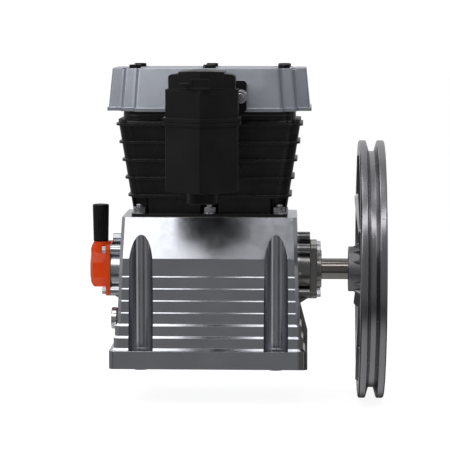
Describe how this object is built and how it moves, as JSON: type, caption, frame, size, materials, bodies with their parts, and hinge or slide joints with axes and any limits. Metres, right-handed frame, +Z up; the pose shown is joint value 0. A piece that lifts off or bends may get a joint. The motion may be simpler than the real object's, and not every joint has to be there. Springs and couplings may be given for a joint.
{
  "type": "air compressor pump head",
  "caption": "Belt-driven piston air compressor pump head with a finned cylinder block, stepped crankcase, front air filter and fan-bladed flywheel with one belt groove.",
  "frame": {"origin": "centre of the four mounting bolts, on the underside of the crankcase's base plinth", "axes": "+X along the crankshaft towards the flywheel, -Y to the front with the air filter, +Z up through the cylinders"},
  "size_m": [0.3412, 0.3406, 0.3885],
  "materials": {
    "cast_aluminium": "satin bluish-grey die casting",
    "gloss_aluminium": "glossy die casting",
    "black_iron": "satin black paint over cast iron",
    "black_plastic": "matte moulded plastic with a fine grain",
    "orange": "semi-gloss orange paint on a casting",
    "gasket": "pressed gasket paper",
    "zinc": "zinc plated",
    "black_steel": "black oxide",
    "polished_steel": "ground and polished",
    "dark_metal": "dark glossy casting",
    "wheel_iron": "machined cast iron",
    "chrome": "bright plated",
    "lens": "clear window with a red dot behind it",
    "brass": "turned brass",
    "seal_rubber": "moulded rubber",
    "foam": "filter foam",
    "bright_aluminium": "machined"
  },
  "bodies": {
    "housing": {"crankcase": "gloss_aluminium", "oil_sight_ring": "chrome", "oil_sight_lens": "lens", "oil_drain_plug": "zinc", "block_gasket": "gasket", "cylinder_block": "black_iron", "block_studs": "zinc", "block_washers": "zinc", "block_nuts": "zinc", "valve_gasket": "gasket", "valve_plate": "black_iron", "suction_reeds": "polished_steel", "delivery_reeds": "polished_steel", "head_gasket": "gasket", "cylinder_head": "cast_aluminium", "head_bolts": "black_steel", "delivery_elbow_seat": "brass", "intake_gasket": "gasket", "filter_body": "black_plastic", "filter_base": "black_plastic", "filter_element": "foam", "intake_bolts": "zinc", "end_cover_gasket": "gasket", "end_cover": "orange", "end_cover_bolts": "zinc", "seal_cover_gasket": "gasket", "seal_cover": "dark_metal", "seal_cover_bolts": "zinc", "shaft_seal": "seal_rubber", "left_bearing_outer": "polished_steel", "right_bearing_outer": "polished_steel"},
    "crank": {"crankshaft": "polished_steel", "flywheel_key": "zinc", "flywheel": "wheel_iron", "flywheel_washer": "zinc", "flywheel_bolt": "zinc", "left_bearing_inner": "polished_steel", "right_bearing_inner": "polished_steel"},
    "left_ball_set": {"left_bearing_balls": "polished_steel"},
    "right_ball_set": {"right_bearing_balls": "polished_steel"},
    "left_rod_set": {"left_rod": "bright_aluminium", "left_rod_cap": "bright_aluminium", "left_rod_bolts": "zinc", "left_wrist_pin": "polished_steel"},
    "right_rod_set": {"right_rod": "bright_aluminium", "right_rod_cap": "bright_aluminium", "right_rod_bolts": "zinc", "right_wrist_pin": "polished_steel"},
    "left_plug": {"left_web_plug": "polished_steel"},
    "right_plug": {"right_web_plug": "polished_steel"},
    "left_piston_set": {"left_piston": "bright_aluminium", "left_piston_rings": "wheel_iron"},
    "right_piston_set": {"right_piston": "bright_aluminium", "right_piston_rings": "wheel_iron"},
    "breather": {"breather_plug": "black_plastic"},
    "lid": {"filter_lid": "black_plastic"}
  },
  "joints": [
    {"name": "crank_spin", "type": "hinge", "parent": "housing", "child": "crank", "pos_m": [0, 0, 0.106], "axis": [1, 0, 0], "continuous": true},
    {"name": "left_ball_roll", "type": "hinge", "parent": "housing", "child": "left_ball_set", "pos_m": [0, 0, 0.106], "axis": [1, 0, 0], "continuous": true},
    {"name": "right_ball_roll", "type": "hinge", "parent": "housing", "child": "right_ball_set", "pos_m": [0, 0, 0.106], "axis": [1, 0, 0], "continuous": true},
    {"name": "left_crankpin", "type": "hinge", "parent": "crank", "child": "left_rod_set", "pos_m": [0, 0, 0.124], "axis": [1, 0, 0], "continuous": true},
    {"name": "right_crankpin", "type": "hinge", "parent": "crank", "child": "right_rod_set", "pos_m": [0, 0, 0.088], "axis": [1, 0, 0], "continuous": true},
    {"name": "left_plug_turn", "type": "hinge", "parent": "crank", "child": "left_plug", "pos_m": [0, 0, 0.115], "axis": [1, 0, 0], "continuous": true},
    {"name": "right_plug_turn", "type": "hinge", "parent": "crank", "child": "right_plug", "pos_m": [0, 0, 0.097], "axis": [1, 0, 0], "continuous": true},
    {"name": "left_piston_guide", "type": "hinge", "parent": "left_plug", "child": "left_piston_set", "pos_m": [0, 0, 0.124], "axis": [1, 0, 0], "continuous": true},
    {"name": "right_piston_guide", "type": "hinge", "parent": "right_plug", "child": "right_piston_set", "pos_m": [0, 0, 0.088], "axis": [1, 0, 0], "continuous": true},
    {"name": "breather_pull", "type": "slide", "parent": "housing", "child": "breather", "axis": [0, 0, 1], "range_m": [0, 0.03]},
    {"name": "lid_lift", "type": "slide", "parent": "housing", "child": "lid", "axis": [0, 0, 1], "range_m": [0, 0.03]}
  ],
  "couplings": [
    {"joint": "left_ball_roll", "follows": "crank_spin", "ratio": 0.3791},
    {"joint": "right_ball_roll", "follows": "crank_spin", "ratio": 0.3948},
    {"joint": "left_crankpin", "follows": "crank_spin", "ratio": -1},
    {"joint": "right_crankpin", "follows": "crank_spin", "ratio": -1},
    {"joint": "left_plug_turn", "follows": "crank_spin", "ratio": -2},
    {"joint": "right_plug_turn", "follows": "crank_spin", "ratio": -2},
    {"joint": "left_piston_guide", "follows": "crank_spin", "ratio": 1},
    {"joint": "right_piston_guide", "follows": "crank_spin", "ratio": 1}
  ]
}
